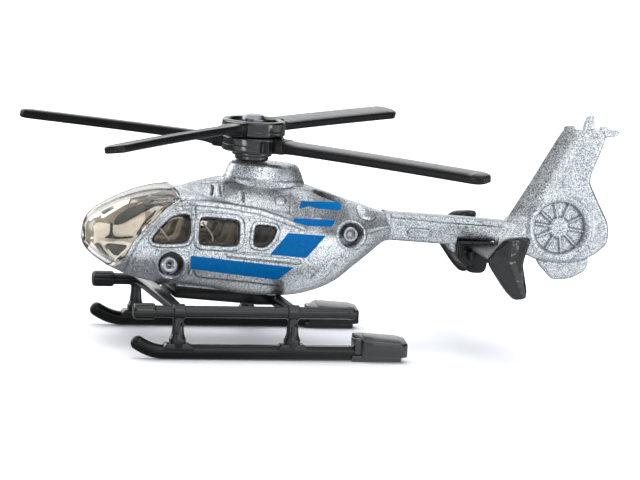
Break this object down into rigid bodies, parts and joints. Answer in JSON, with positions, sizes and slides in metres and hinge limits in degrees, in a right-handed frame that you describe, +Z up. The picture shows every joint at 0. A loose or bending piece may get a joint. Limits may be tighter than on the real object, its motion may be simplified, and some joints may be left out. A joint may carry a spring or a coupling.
{
  "type": "helicopter scale model",
  "caption": "Pocket-size silver helicopter model with clear nose bubble, black skid undercarriage, shrouded tail fan relief and stacked rotor blades that turn on a mast pin.",
  "frame": {"origin": "centre of the resting bounding box on the ground plane; the skid and heel soles are z = 0", "axes": "+X towards the tail (the nose points to -X), +Z up, the port side faces -Y"},
  "size_m": [0.086, 0.0604, 0.0349],
  "materials": {
    "silver_paint": "silver metallic paint with coarse flake, satin gloss, blue printed bands on the sides",
    "rivet_steel": "bright peened rivet metal",
    "clear_tinted_plastic": "thick clear plastic with a faint smoke-beige tint, polished",
    "black_plastic": "black moulded plastic, satin gloss",
    "cabin_plastic": "beige moulded plastic, matt"
  },
  "bodies": {
    "airframe": {"fuselage_left_half": "silver_paint", "fuselage_right_half": "silver_paint", "mast_fairing": "silver_paint", "tail_boom_fin": "silver_paint", "front_rivet": "rivet_steel", "rear_rivet": "rivet_steel", "mast_pin": "rivet_steel", "canopy_glazing": "clear_tinted_plastic", "side_window_left": "clear_tinted_plastic", "side_window_right": "clear_tinted_plastic", "rotor_collar": "black_plastic", "belly_plate": "black_plastic", "front_cross_bar": "black_plastic", "rear_cross_bar": "black_plastic", "step_rail_left": "black_plastic", "step_rail_right": "black_plastic", "strut_front_left": "black_plastic", "strut_front_right": "black_plastic", "strut_rear_left": "black_plastic", "strut_rear_right": "black_plastic", "skid_left": "black_plastic", "skid_right": "black_plastic", "heel_block_left": "black_plastic", "heel_block_right": "black_plastic", "stabiliser": "black_plastic", "end_plate_left": "black_plastic", "end_plate_right": "black_plastic", "cabin_interior": "cabin_plastic"},
    "lower_rotor": {"rotor_lower": "black_plastic"},
    "upper_rotor": {"rotor_upper": "black_plastic"}
  },
  "joints": [
    {"name": "lower_rotor_spin", "type": "hinge", "parent": "airframe", "child": "lower_rotor", "pos_m": [-0.01282, 0, 0.03105], "axis": [0.0262, 0, 0.9997], "continuous": true},
    {"name": "upper_rotor_spin", "type": "hinge", "parent": "airframe", "child": "upper_rotor", "pos_m": [-0.01282, 0, 0.03105], "axis": [0.0262, 0, 0.9997], "continuous": true}
  ]
}
